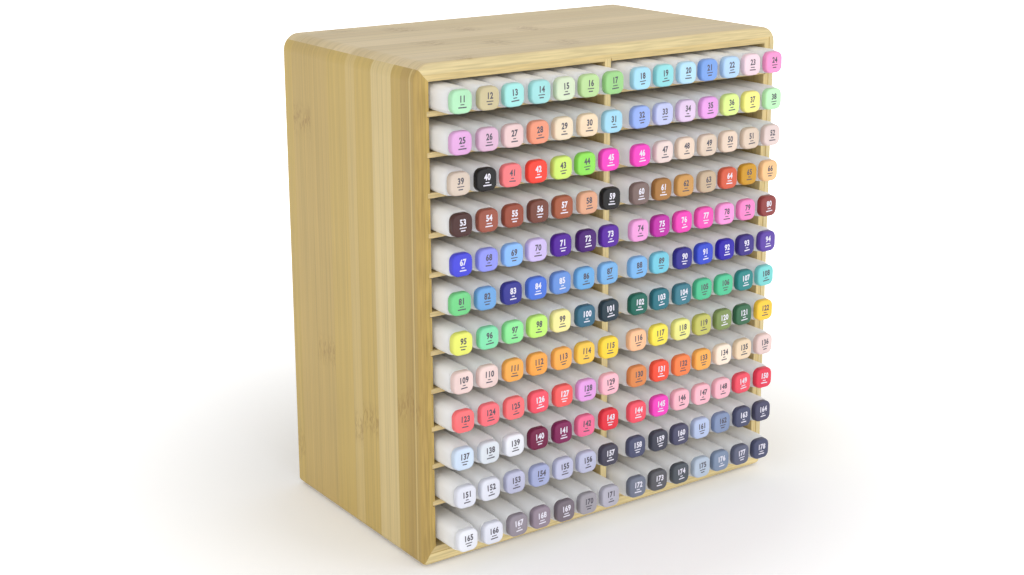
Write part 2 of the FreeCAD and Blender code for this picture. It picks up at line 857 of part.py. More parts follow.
def build():
    """Every sub-part of the cabinet, in the order of the bench: case, turntable, markers."""
    tube = case_tube()
    pieces = [
        bottom_board(tube),
        mitred_board("top_board", tube, ("left", "top"), ("right", "top")),
        mitred_board("left_side_board", tube, ("left", "bottom"), ("left", "top")),
        mitred_board("right_side_board", tube, ("right", "bottom"), ("right", "top")),
        side_liner("left", "-1"),
        side_liner("right", "1"),
        level_liner("top", LINER_HEIGHT, f"{LINER_HEIGHT} - dims.liner_thickness"),
        cut("bottom_liner", level_liner("bottom", "0", "dims.liner_thickness"), pilot_holes("liner_pilot")),
        back_panel(),
        divider(),
        floor_panel("left", "-1"),
        floor_panel("right", "1"),
        brads(),
        anti_slip_pad(),
        lower_plate(),
        centre_rivet(),
        rivet_washer(),
        ball_cage(),
        bearing_balls(),
        upper_plate(),
        plate_screws(),
    ]
    pieces += [shelf(number) for number in range(1, DIMENSIONS["shelf_count"] + 1)]
    barrel_shape = barrel()
    plug_shape = plug()
    for row in range(1, DIMENSIONS["shelf_count"] + 2):
        for side in ("left", "right"):
            pieces.append(marker_set(row, side, barrel_shape, plug_shape))
    return pieces


def check(pieces):
    """Refuse to write anything if an object failed or a sub-part's shape is broken."""
    for thing in doc.Objects:
        if "Invalid" in thing.State or "Error" in thing.State:
            raise ValueError(f"{thing.Label} failed: {thing.State}")
    for piece in pieces:
        if piece.Shape.isNull() or not piece.Shape.isValid() or not piece.Shape.Solids:
            raise ValueError(f"{piece.Label} has no valid solid")


sub_parts = build()
doc.recompute()
check(sub_parts)
os.makedirs("parts", exist_ok=True)
for sub_part in sub_parts:
    sub_part.Shape.exportStep(f"parts/{sub_part.Label}.step")
print(f"{len(sub_parts)} sub-parts written")
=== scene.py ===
"""Looks of the revolving bamboo marker cabinet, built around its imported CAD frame.

Everything is in metres in the frame's own axes: +Z up, -Y out of the cabinet's open front.
"""

import math
import random
from typing import NamedTuple

import bmesh
import bpy
from mathutils import Matrix, Vector


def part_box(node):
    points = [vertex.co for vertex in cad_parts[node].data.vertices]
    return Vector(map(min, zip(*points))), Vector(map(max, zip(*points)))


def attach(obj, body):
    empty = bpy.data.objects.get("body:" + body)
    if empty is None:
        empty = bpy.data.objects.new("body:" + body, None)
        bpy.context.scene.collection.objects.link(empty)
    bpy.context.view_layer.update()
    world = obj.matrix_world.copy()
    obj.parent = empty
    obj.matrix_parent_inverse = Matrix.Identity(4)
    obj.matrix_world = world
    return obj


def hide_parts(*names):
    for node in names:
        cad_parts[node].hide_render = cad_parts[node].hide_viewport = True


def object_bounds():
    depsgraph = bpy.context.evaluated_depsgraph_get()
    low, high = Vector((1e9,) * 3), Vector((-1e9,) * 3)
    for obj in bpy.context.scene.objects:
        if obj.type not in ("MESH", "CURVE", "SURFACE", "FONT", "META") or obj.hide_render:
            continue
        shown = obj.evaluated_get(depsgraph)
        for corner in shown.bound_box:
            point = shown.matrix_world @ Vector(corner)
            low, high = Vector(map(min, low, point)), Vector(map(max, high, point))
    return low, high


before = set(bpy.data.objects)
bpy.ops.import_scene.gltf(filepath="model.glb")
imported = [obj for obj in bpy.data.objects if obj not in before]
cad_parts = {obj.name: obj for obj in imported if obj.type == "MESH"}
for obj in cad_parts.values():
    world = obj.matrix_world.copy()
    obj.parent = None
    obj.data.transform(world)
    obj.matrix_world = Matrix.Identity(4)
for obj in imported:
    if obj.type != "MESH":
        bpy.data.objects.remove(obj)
cad_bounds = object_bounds()

MM = 0.001
ROWS = 12
PER_SET = 7
SIDES = ("left", "right")

# ---------------------------------------------------------------------------
# Colours, as the eye reads them on a screen, turned to linear where they are used
# ---------------------------------------------------------------------------

WOOD = {
    "straw": (226, 206, 152),
    "pale": (220, 197, 144),
    "light": (212, 190, 136),
    "honey": (204, 179, 118),
    "golden": (198, 171, 102),
    "amber": (190, 162, 94),
    "toast": (179, 151, 89),
    "umber": (146, 112, 60),
    "tan": (196, 169, 106),
    "rose": (219, 198, 156),
    "sand": (214, 193, 149),
    "biscuit": (209, 187, 142),
    "cream": (214, 196, 148),
}

INK = {
    "mint": (172, 222, 182),
    "khaki": (196, 184, 146),
    "ice": (162, 224, 220),
    "lagoon": (156, 212, 212),
    "dew": (206, 220, 190),
    "sage": (180, 212, 150),
    "leaf": (152, 204, 134),
    "sky": (162, 212, 234),
    "aqua": (144, 214, 218),
    "mist": (178, 218, 240),
    "cornflower": (122, 160, 224),
    "powder": (176, 208, 240),
    "blush": (236, 208, 218),
    "pink": (244, 152, 204),
    "orchid": (222, 168, 218),
    "lilac": (218, 180, 206),
    "petal": (228, 198, 198),
    "coral": (232, 150, 122),
    "chiffon": (230, 212, 186),
    "peach": (236, 212, 182),
    "periwinkle": (148, 172, 234),
    "lavender": (190, 196, 234),
    "mauve": (220, 196, 226),
    "violet_pink": (224, 158, 222),
    "lime": (216, 238, 142),
    "lemon": (246, 238, 138),
    "seafoam": (190, 242, 190),
    "cream": (206, 190, 176),
    "black": (14, 13, 15),
    "rose_red": (238, 122, 126),
    "scarlet": (240, 70, 56),
    "chartreuse": (202, 228, 110),
    "green": (142, 220, 88),
    "magenta": (238, 70, 188),
    "shell": (226, 206, 202),
    "skin": (226, 204, 186),
    "buff": (218, 198, 180),
    "cocoa": (70, 40, 38),
    "brick": (150, 82, 66),
    "chestnut": (144, 72, 54),
    "walnut": (112, 64, 52),
    "russet": (154, 84, 58),
    "tan": (214, 160, 130),
    "taupe": (122, 102, 98),
    "ochre": (162, 114, 60),
    "amber": (198, 148, 84),
    "umber": (190, 168, 142),
    "terracotta": (206, 92, 66),
    "mustard": (198, 146, 40),
    "apricot": (238, 192, 140),
    "ultramarine": (72, 74, 214),
    "iris": (142, 148, 234),
    "azure": (136, 182, 240),
    "wisteria": (200, 184, 232),
    "purple": (76, 22, 146),
    "plum": (66, 18, 106),
    "violet": (84, 30, 152),
    "rosebud": (232, 158, 214),
    "fuchsia": (186, 46, 162),
    "cerise": (234, 72, 180),
    "hotpink": (234, 84, 178),
    "candy": (244, 150, 212),
    "carnation": (240, 136, 196),
    "maroon": (140, 62, 60),
    "emerald": (112, 202, 132),
    "steelblue": (110, 162, 216),
    "navy": (50, 52, 140),
    "royal": (76, 116, 214),
    "denim": (104, 144, 214),
    "cerulean": (106, 166, 218),
    "sea": (120, 174, 224),
    "turquoise": (116, 196, 218),
    "indigo": (46, 42, 136),
    "cobalt": (54, 76, 200),
    "ink_blue": (44, 30, 164),
    "midnight": (58, 44, 128),
    "dusk": (92, 66, 160),
    "sun": (226, 230, 110),
    "jade": (128, 216, 168),
    "spring": (140, 226, 150),
    "pear": (188, 234, 116),
    "butter": (238, 228, 154),
    "teal": (52, 100, 124),
    "slate": (32, 52, 64),
    "pine": (22, 96, 82),
    "lake": (40, 108, 122),
    "petrol": (58, 118, 134),
    "clover": (82, 192, 146),
    "forest_teal": (44, 132, 132),
    "pool": (124, 210, 208),
    "nude": (232, 206, 202),
    "orange": (244, 172, 84),
    "tangerine": (240, 164, 76),
    "marigold": (246, 200, 82),
    "gold": (244, 208, 66),
    "melon": (242, 188, 146),
    "canary": (244, 226, 84),
    "straw": (232, 230, 138),
    "olive": (192, 190, 98),
    "moss": (124, 142, 84),
    "bottle": (56, 104, 74),
    "saffron": (252, 204, 70),
    "salmon": (246, 114, 118),
    "flamingo": (244, 114, 124),
    "vermilion": (236, 94, 94),
    "red": (236, 84, 102),
    "ruby": (222, 60, 84),
    "copper": (216, 134, 78),
    "rust": (236, 80, 58),
    "persimmon": (244, 130, 76),
    "vanilla": (246, 228, 210),
    "frost": (202, 218, 238),
    "cloud": (214, 220, 228),
    "snow": (230, 232, 240),
    "wine": (112, 28, 66),
    "burgundy": (124, 34, 84),
    "raspberry": (236, 110, 150),
    "crimson": (222, 52, 66),
    "blossom": (246, 184, 198),
    "pearl": (220, 222, 234),
    "haze": (186, 188, 214),
    "periwinkle_grey": (160, 168, 206),
    "thunder": (70, 68, 84),
    "pewter": (112, 118, 136),
    "charcoal": (64, 66, 80),
    "gunmetal": (76, 76, 102),
    "ice_blue": (180, 194, 226),
    "storm": (128, 144, 178),
    "graphite": (76, 80, 108),
    "ash": (144, 136, 146),
    "stone": (146, 132, 146),
    "smoke": (118, 108, 118),
    "cinder": (158, 154, 162),
    "silver": (178, 176, 190),
    "iron": (88, 88, 94),
    "shale": (78, 84, 92),
    "glacier": (180, 194, 212),
    "rain": (126, 142, 168),
    "slate_grey": (96, 100, 122),
}

# The markers' ink colours, a row to a line from the top, from left to right in each bay.
MARKER_INKS = {
    "left": (
        "mint khaki ice lagoon dew sage leaf",
        "orchid lilac petal coral chiffon peach sky",
        "cream black rose_red scarlet chartreuse green magenta",
        "cocoa brick chestnut walnut russet tan black",
        "ultramarine iris azure wisteria purple plum violet",
        "emerald steelblue navy royal denim cerulean sea",
        "sun jade spring pear butter teal slate",
        "nude nude orange tangerine orange marigold gold",
        "salmon flamingo salmon red vermilion violet_pink blossom",
        "frost cloud snow wine burgundy raspberry crimson",
        "pearl pearl haze periwinkle_grey haze haze thunder",
        "snow pearl ash stone smoke cinder silver",
    ),
    "right": (
        "sky aqua mist cornflower powder blush pink",
        "periwinkle lavender mauve violet_pink lime lemon seafoam",
        "magenta shell skin buff skin buff shell",
        "taupe ochre amber umber terracotta mustard apricot",
        "rosebud fuchsia cerise hotpink candy carnation maroon",
        "sea turquoise indigo cobalt ink_blue midnight dusk",
        "pine lake petrol clover clover forest_teal pool",
        "melon canary straw olive moss bottle saffron",
        "copper rust persimmon orange vanilla peach nude",
        "red magenta blossom blossom blossom red ruby",
        "graphite charcoal gunmetal ice_blue storm graphite gunmetal",
        "pewter iron shale glacier rain slate_grey graphite",
    ),
}


def linear(colour):
    """A screen colour in 0 to 255 as a linear RGBA."""
    channels = []
    for step in colour:
        level = step / 255.0
        channels.append(level / 12.92 if level <= 0.04045 else ((level + 0.055) / 1.055) ** 2.4)
    return (*channels, 1.0)


# ---------------------------------------------------------------------------
# Node helpers
# ---------------------------------------------------------------------------


class Shader:
    """A material's node tree, with short ways to add and join nodes."""

    def __init__(self, name):
        self.material = bpy.data.materials.new(name)
        self.material.use_nodes = True
        self.tree = self.material.node_tree
        self.surface = self.tree.nodes["Principled BSDF"]

    def node(self, kind, **settings):
        made = self.tree.nodes.new(kind)
        for key, setting in settings.items():
            setattr(made, key, setting)
        return made

    def join(self, source, target):
        """Join a socket to a socket, or set a plain value."""
        if isinstance(source, bpy.types.NodeSocket):
            self.tree.links.new(source, target)
        else:
            target.default_value = source

    def math(self, operation, first, second=0.0, clamp=False):
        made = self.node("ShaderNodeMath", operation=operation, use_clamp=clamp)
        self.join(first, made.inputs[0])
        self.join(second, made.inputs[1])
        return made.outputs[0]

    def vector(self, x, y, z):
        made = self.node("ShaderNodeCombineXYZ")
        for source, target in zip((x, y, z), made.inputs):
            self.join(source, target)
        return made.outputs[0]

    def noise(self, vector, scale=1.0, detail=2.0, roughness=0.5, distortion=0.0):
        made = self.node("ShaderNodeTexNoise")
        self.join(vector, made.inputs["Vector"])
        made.inputs["Scale"].default_value = scale
        made.inputs["Detail"].default_value = detail
        made.inputs["Roughness"].default_value = roughness
        made.inputs["Distortion"].default_value = distortion
        return made.outputs["Fac"]

    def random(self, number):
        made = self.node("ShaderNodeTexWhiteNoise", noise_dimensions="1D")
        self.join(number, made.inputs["W"])
        return made.outputs["Value"]

    def remap(self, source, low, high, to_low, to_high):
        made = self.node("ShaderNodeMapRange", clamp=True)
        self.join(source, made.inputs["Value"])
        ends = {"From Min": low, "From Max": high, "To Min": to_low, "To Max": to_high}
        for name, number in ends.items():
            made.inputs[name].default_value = number
        return made.outputs["Result"]

    def ramp(self, factor, stops, interpolation="LINEAR"):
        made = self.node("ShaderNodeValToRGB")
        band = made.color_ramp
        band.interpolation = interpolation
        while len(band.elements) < len(stops):
            band.elements.new(0.5)
        for element, (position, colour) in zip(band.elements, stops):
            element.position = position
            element.color = colour
        self.join(factor, made.inputs["Fac"])
        return made.outputs["Color"]

    def mix(self, factor, first, second, blend="MIX"):
        made = self.node("ShaderNodeMix", data_type="RGBA", blend_type=blend)
        self.join(factor, made.inputs["Factor"])
        self.join(first, made.inputs["A"])
        self.join(second, made.inputs["B"])
        return made.outputs["Result"]

    def grey(self, level):
        """A grey colour made from a number, for multiplying into a colour."""
        made = self.node("ShaderNodeCombineColor")
        for socket in made.inputs:
            self.join(level, socket)
        return made.outputs["Color"]

    def bump(self, height, distance, strength=1.0):
        made = self.node("ShaderNodeBump")
        self.join(height, made.inputs["Height"])
        made.inputs["Distance"].default_value = distance
        made.inputs["Strength"].default_value = strength
        self.tree.links.new(made.outputs["Normal"], self.surface.inputs["Normal"])

    def set(self, **settings):
        """Set sockets of the surface shader, by name with underscores for spaces."""
        for key, setting in settings.items():
            self.join(setting, self.surface.inputs[key.replace("_", " ")])
        return self.material


# ---------------------------------------------------------------------------
# Bamboo
# ---------------------------------------------------------------------------

SEAM = 0.14 * MM
STRIP_WIDTH = 21.0
LAST_STRIP_WIDTH = 60.0
KNUCKLE_STEP = 17.0
# A knuckle's height is kept in a ramp's alpha, as a share of this span about the middle.
KNUCKLE_SPAN = 800.0
# Noise cells to a metre: across the fibres, and along them.
BROAD_GRAIN = (260.0, 3.5)
THIN_GRAIN = (640.0, 4.0)
FINE_GRAIN = (2100.0, 24.0)
KNUCKLE_GRAIN = (420.0, 120.0)
EDGE_GRAIN = (760.0, 34.0)


def even_strips(start, tones, knuckle):
    """Strips of one width from a starting place, each with its knuckle at its own height."""
    strips = []
    for number, tone in enumerate(tones.split()):
        steps_up = (number * 5) % 7 - 3
        strips.append((start + number * STRIP_WIDTH, tone, knuckle + steps_up * KNUCKLE_STEP))
    return strips


def bamboo(name, along, across, strips, edge, edge_across):
    """Laminated bamboo: strips side by side, fibre streaks, knuckles, and sawn edges.

    along and across name the axes that the fibres and the strips' widths follow. Each strip is the
    place where it starts, its tone and where its knuckle lies along the fibres, in millimetres. The
    edge tone is None for a board whose broad faces look to the front and back, and edge_across is the
    axis across its layers.
    """
    shader = Shader(name)
    place = shader.node("ShaderNodeTexCoord")
    axes = shader.node("ShaderNodeSeparateXYZ")
    shader.join(place.outputs["Object"], axes.inputs[0])
    length = axes.outputs[along]
    width = axes.outputs[across]

    # One ramp carries each strip's tone, and its alpha the height of the strip's knuckle.
    first, last = strips[0][0] * MM, (strips[-1][0] + LAST_STRIP_WIDTH) * MM
    stops = []
    for start, tone, knuckle in strips:
        share = (start * MM - first) / (last - first)
        stops.append((share, (*linear(WOOD[tone])[:3], knuckle / KNUCKLE_SPAN + 0.5)))

    def strip_at(offset):
        share = shader.remap(width, first - offset, last - offset, 0.0, 1.0)
        return shader.ramp(share, stops, "CONSTANT")

    here, beyond = strip_at(0.0), strip_at(SEAM)
    key = here.node.outputs["Alpha"]
    step = shader.math("SUBTRACT", key, beyond.node.outputs["Alpha"])
    seam = shader.math("MULTIPLY", shader.math("ABSOLUTE", step), 1000.0, clamp=True)
    seed = shader.math("MULTIPLY", key, 57.0)

    def grain(rates, sideways=width, start=seed, **settings):
        """Noise drawn out along the fibres."""
        x = shader.math("MULTIPLY", sideways, rates[0])
        y = shader.math("MULTIPLY", length, rates[1])
        return shader.noise(shader.vector(x, y, start), **settings)

    # Streaks run with the fibres: broad ones tint a strip, thin dark and fine ones read as fibre.
    broad = grain(BROAD_GRAIN, detail=3.0, roughness=0.6)
    thin = grain(THIN_GRAIN, detail=2.0, roughness=0.55)
    fine = grain(FINE_GRAIN, detail=2.0, roughness=0.6)
    cloud = shader.noise(place.outputs["Object"], scale=13.0, detail=2.0)
    level = shader.remap(broad, 0.3, 0.7, 0.93, 1.07)
    level = shader.math("MULTIPLY", level, shader.remap(cloud, 0.3, 0.7, 0.97, 1.03))
    level = shader.math("MULTIPLY", level, shader.remap(thin, 0.34, 0.47, 0.88, 1.0))
    level = shader.math("MULTIPLY", level, shader.remap(fine, 0.25, 0.75, 0.93, 1.05))

    # A knuckle is a mottled darker patch across one strip.
    centre = shader.math("MULTIPLY", shader.math("SUBTRACT", key, 0.5), KNUCKLE_SPAN * MM)
    offset = shader.math("ABSOLUTE", shader.math("SUBTRACT", length, centre))
    band = shader.remap(offset, 2.0 * MM, 13.0 * MM, 1.0, 0.0)
    mottle = grain(KNUCKLE_GRAIN, detail=3.0, distortion=1.6)
    knuckle = shader.math("MULTIPLY", band, shader.remap(mottle, 0.44, 0.6, 0.0, 1.0))
    stain = shader.math("MULTIPLY", knuckle, 0.5)

    shade = shader.math("SUBTRACT", level, shader.math("MULTIPLY", seam, 0.1))
    colour = shader.mix(1.0, here, shader.grey(shade), "MULTIPLY")
    colour = shader.mix(stain, colour, linear(WOOD["umber"]))

    # Sawn front and back edges show an edge grain of their own, in thin layers with soft patches.
    if edge:
        facing = shader.node("ShaderNodeSeparateXYZ")
        shader.join(place.outputs["Normal"], facing.inputs[0])
        sawn = shader.remap(shader.math("ABSOLUTE", facing.outputs["Y"]), 0.4, 0.9, 0.0, 1.0)
        layers = grain(EDGE_GRAIN, sideways=axes.outputs[edge_across], start=0.0, detail=2.0)
        edge_level = shader.grey(shader.remap(layers, 0.34, 0.62, 0.8, 1.04))
        edge_colour = shader.mix(1.0, linear(WOOD[edge]), edge_level, "MULTIPLY")
        colour = shader.mix(sawn, colour, edge_colour)

    shader.bump(shader.math("SUBTRACT", fine, shader.math("ADD", seam, stain)), 0.08 * MM, 0.6)
    rough = shader.remap(fine, 0.3, 0.7, 0.38, 0.52)
    return shader.set(Base_Color=colour, Roughness=rough, Specular_IOR_Level=0.25)


# ---------------------------------------------------------------------------
# Metal, rubber and plastic
# ---------------------------------------------------------------------------


def turned_steel(name, colour, rough, grooves):
    """Pressed or turned steel with faint rings about the spin axis."""
    shader = Shader(name)
    place = shader.node("ShaderNodeTexCoord")
    axes = shader.node("ShaderNodeSeparateXYZ")
    shader.join(place.outputs["Object"], axes.inputs[0])
    flat = shader.vector(axes.outputs["X"], axes.outputs["Y"], 0.0)
    length = shader.node("ShaderNodeVectorMath", operation="LENGTH")
    shader.join(flat, length.inputs[0])
    radius = length.outputs["Value"]
    rings = shader.noise(shader.vector(shader.math("MULTIPLY", radius, grooves), 0.0, 0.0), detail=2.0)
    spots = shader.noise(place.outputs["Object"], scale=90.0, detail=3.0)
    darker = [channel * 0.86 for channel in colour]
    tint = shader.mix(shader.remap(spots, 0.35, 0.7, 0.0, 0.35), linear(colour), linear(darker))
    shader.bump(rings, 0.02 * MM, 0.5)
    roughness = shader.remap(shader.math("ADD", rings, spots), 0.7, 1.3, rough - 0.06, rough + 0.1)
    return shader.set(Base_Color=tint, Metallic=1.0, Roughness=roughness)


def rubber(name):
    """Matt black rubber with a fine pebble."""
    shader = Shader(name)
    place = shader.node("ShaderNodeTexCoord")
    pebble = shader.noise(place.outputs["Object"], scale=1400.0, detail=2.0)
    dust = shader.noise(place.outputs["Object"], scale=60.0, detail=3.0)
    black, dusty = linear((38, 38, 40)), linear((56, 55, 54))
    colour = shader.mix(shader.remap(dust, 0.4, 0.7, 0.0, 0.5), black, dusty)
    shader.bump(pebble, 0.05 * MM, 0.7)
    return shader.set(Base_Color=colour, Roughness=shader.remap(dust, 0.3, 0.7, 0.72, 0.88))


def moulded(name, colour, rough=0.4, shift=0.05, specular=0.5, glow=0.0, depth=2.0):
    """Moulded plastic with a slight drift of tone and a faint orange-peel surface.

    glow is the share of light that goes into the plastic, and depth how far it spreads, in millimetres.
    """
    shader = Shader(name)
    place = shader.node("ShaderNodeTexCoord")
    drift = shader.noise(place.outputs["Object"], scale=55.0, detail=2.0)
    peel = shader.noise(place.outputs["Object"], scale=900.0, detail=2.0)
    level = shader.remap(drift, 0.3, 0.7, 1.0 - shift, 1.0 + shift * 0.4)
    tint = shader.mix(1.0, linear(colour), shader.grey(level), "MULTIPLY")
    shader.bump(peel, 0.02 * MM, 0.35)
    shader.set(Subsurface_Weight=glow, Subsurface_Scale=depth * MM, Subsurface_Radius=(1.0, 1.0, 1.0))
    roughness = shader.remap(peel, 0.3, 0.7, rough - 0.04, rough + 0.06)
    return shader.set(Base_Color=tint, Roughness=roughness, Specular_IOR_Level=specular)


# ---------------------------------------------------------------------------
# Mesh helpers
# ---------------------------------------------------------------------------


def rounded_square(side, corner, steps=5):
    """Points of a rounded square about the origin, anticlockwise."""
    reach = side / 2 - corner
    points = []
    for quarter in range(4):
        turn = quarter * math.pi / 2
        centre = Matrix.Rotation(turn, 2) @ Vector((reach, reach))
        for step in range(steps + 1):
            angle = turn + step * math.pi / 2 / steps
            points.append((centre.x + corner * math.cos(angle), centre.y + corner * math.sin(angle)))
    return points


def loft(mesh, stations, origin, slot):
    """Skin rounded squares placed along +Y from the origin, with a face at each end."""
    rings = []
    for depth, side, corner in stations:
        ring = []
        for x, z in rounded_square(side, corner):
            ring.append(mesh.verts.new(origin + Vector((x, depth, z))))
        rings.append(ring)
    faces = [mesh.faces.new(rings[0]), mesh.faces.new(list(reversed(rings[-1])))]
    count = len(rings[0])
    for near, far in zip(rings, rings[1:]):
        for i in range(count):
            j = (i + 1) % count
            faces.append(mesh.faces.new((near[i], far[i], far[j], near[j])))
    for face in faces:
        face.material_index = slot
        face.smooth = True


def to_object(mesh, name, materials, sharp_degrees=38.0):
    """A finished object from a bmesh, smooth apart from its sharp edges."""
    bmesh.ops.recalc_face_normals(mesh, faces=mesh.faces)
    data = bpy.data.meshes.new(name)
    mesh.to_mesh(data)
    mesh.free()
    data.set_sharp_from_angle(angle=math.radians(sharp_degrees))
    for material in materials:
        data.materials.append(material)
    made = bpy.data.objects.new(name, data)
    bpy.context.scene.collection.objects.link(made)
    return made


# ---------------------------------------------------------------------------
# Markers
# ---------------------------------------------------------------------------

MARKER_SIDE = 15.0 * MM
MARKER_CORNER = 4.3 * MM
MARKER_LENGTH = 154.0 * MM
MOST_SUNK = 1.0 * MM
MOST_ASIDE = 0.35 * MM
MOST_TILT = 4.0
PLUG_SIDE = 13.4 * MM
PLUG_CORNER = 4.1 * MM
PLUG_DEPTH = 4.4 * MM
CAP_LENGTH = 46.0 * MM
SEAM_DEPTH = 0.25 * MM


def at_back(stations):
    """The same stations, mirrored to the marker's other end."""
    return [(MARKER_LENGTH - depth, side, corner) for depth, side, corner in reversed(stations)]


def body_stations():
    """The marker's body between its plugs: shoulders, two caps and the barrel, with seams."""
    side, corner = MARKER_SIDE, MARKER_CORNER
    front_half = [
        (PLUG_DEPTH - 0.5 * MM, PLUG_SIDE - 0.6 * MM, corner - 0.3 * MM),
        (PLUG_DEPTH, PLUG_SIDE + 0.15 * MM, corner - 0.2 * MM),
        (PLUG_DEPTH + 0.2 * MM, PLUG_SIDE + 0.7 * MM, corner - 0.1 * MM),
        (PLUG_DEPTH + 0.7 * MM, side - 0.8 * MM, corner),
        (PLUG_DEPTH + 1.6 * MM, side - 0.3 * MM, corner),
        (PLUG_DEPTH + 3.4 * MM, side, corner),
        (CAP_LENGTH - 0.35 * MM, side, corner),
        (CAP_LENGTH - 0.1 * MM, side - 2 * SEAM_DEPTH, corner),
        (CAP_LENGTH + 0.25 * MM, side - 2 * SEAM_DEPTH, corner),
        (CAP_LENGTH + 0.5 * MM, side - 0.1 * MM, corner),
    ]
    return front_half + at_back(front_half)


def plug_stations():
    """The coloured plug: a short rounded block with a soft rim and a flat end face."""
    side, corner = PLUG_SIDE, PLUG_CORNER
    return [
        (0.0, side - 2.3 * MM, corner - 0.9 * MM),
        (0.08 * MM, side - 1.5 * MM, corner - 0.6 * MM),
        (0.32 * MM, side - 0.75 * MM, corner - 0.3 * MM),
        (0.75 * MM, side - 0.25 * MM, corner - 0.1 * MM),
        (1.4 * MM, side, corner),
        (PLUG_DEPTH - 0.5 * MM, side + 0.1 * MM, corner),
        (PLUG_DEPTH - 0.15 * MM, side - 0.15 * MM, corner),
        (PLUG_DEPTH + 0.2 * MM, side - 0.6 * MM, corner),
    ]


BODY_STATIONS = body_stations()
PLUG_STATIONS = plug_stations()
BACK_PLUG_STATIONS = at_back(PLUG_STATIONS)

DIGIT_HEIGHT = 3.5 * MM
FONT_TO_DIGIT = 1.42
DIGIT_SQUEEZE = 0.82
STROKE_OFFSET = 0.19 * MM
DIGIT_STEP = 2.2 * MM
DIGIT_RISE = 1.7 * MM
PRINT_THICKNESS = 0.03 * MM
UPPER_BAR = (-1.5 * MM, 0.55 * MM)
LOWER_BAR = (-3.1 * MM, 0.7 * MM)
BAR_PAIRS = ((2.6, 5.4), (4.6, 3.0), (3.4, 5.0), (2.0, 4.4))
FIRST_NUMBER = 11


def digit_meshes():
    """Outlines of the ten digits as flat meshes, in the XZ plane facing -Y, centred on the origin."""
    digits = {}
    for text in "0123456789":
        curve = bpy.data.curves.new(f"digit_{text}", "FONT")
        curve.body = text
        curve.size = DIGIT_HEIGHT * FONT_TO_DIGIT
        curve.resolution_u = 3
        curve.extrude = PRINT_THICKNESS
        curve.offset = STROKE_OFFSET
        holder = bpy.data.objects.new(f"digit_{text}", curve)
        bpy.context.scene.collection.objects.link(holder)
        bpy.context.view_layer.update()
        flat = bpy.data.meshes.new_from_object(holder)
        bpy.data.objects.remove(holder)
        xs = [vertex.co.x for vertex in flat.vertices]
        ys = [vertex.co.y for vertex in flat.vertices]
        centre = Vector(((min(xs) + max(xs)) / 2, (min(ys) + max(ys)) / 2, 0.0))
        squeeze = Matrix.Diagonal((DIGIT_SQUEEZE, 1.0, 1.0, 1.0))
        upright = Matrix.Rotation(math.pi / 2, 4, "X")
        flat.transform(upright @ squeeze @ Matrix.Translation(-centre))
        digits[text] = flat
    return digits


DIGITS = digit_meshes()


def add_bar(mesh, place, width, height, slot):
    """A thin printed bar on an end face."""
    half = Matrix.Diagonal((width / 2, PRINT_THICKNESS, height / 2, 1.0))
    made = bmesh.ops.create_cube(mesh, size=2.0, matrix=place @ half)
    for vertex in made["verts"]:
        for face in vertex.link_faces:
            face.material_index = slot


def add_print(mesh, number, centre, tilt, bars, slot):
    """A marker's number on its end face, with two bars of the given widths in millimetres under it."""
    turn = Matrix.Translation(centre) @ Matrix.Rotation(tilt, 4, "Y")
    text = str(number)
    for place, digit in enumerate(text):
        shift = (place - (len(text) - 1) / 2) * DIGIT_STEP
        before = len(mesh.faces)
        mesh.from_mesh(DIGITS[digit])
        mesh.faces.ensure_lookup_table()
        faces = mesh.faces[before:]
        vertices = {vertex for face in faces for vertex in face.verts}
        move = turn @ Matrix.Translation((shift, 0.0, DIGIT_RISE))
        bmesh.ops.transform(mesh, matrix=move, verts=list(vertices))
        for face in faces:
            face.material_index = slot
    for width, (drop, height) in zip(bars, (UPPER_BAR, LOWER_BAR)):
        add_bar(mesh, turn @ Matrix.Translation((0.0, 0.0, drop)), width * MM, height, slot)


def brightness(colour):
    return 0.3 * colour[0] + 0.59 * colour[1] + 0.11 * colour[2]


BARREL_WHITE = (238, 239, 241)
BARREL = moulded("marker_barrel_plastic", BARREL_WHITE, rough=0.34, shift=0.03, glow=1.0, depth=12.0)
DARK_PRINT = moulded("marker_dark_print", (76, 72, 84), rough=0.5)
PALE_PRINT = moulded("marker_pale_print", (222, 220, 232), rough=0.5)
# Caps darker than this bear pale print.
DARK_CAP = 141.0
_plug_plastics = {}


def plug_plastic(ink):
    """One plastic for each ink colour."""
    if ink not in _plug_plastics:
        _plug_plastics[ink] = moulded(
            f"plug_{ink}", INK[ink], rough=0.34, shift=0.07, specular=0.3, glow=0.1
        )
    return _plug_plastics[ink]


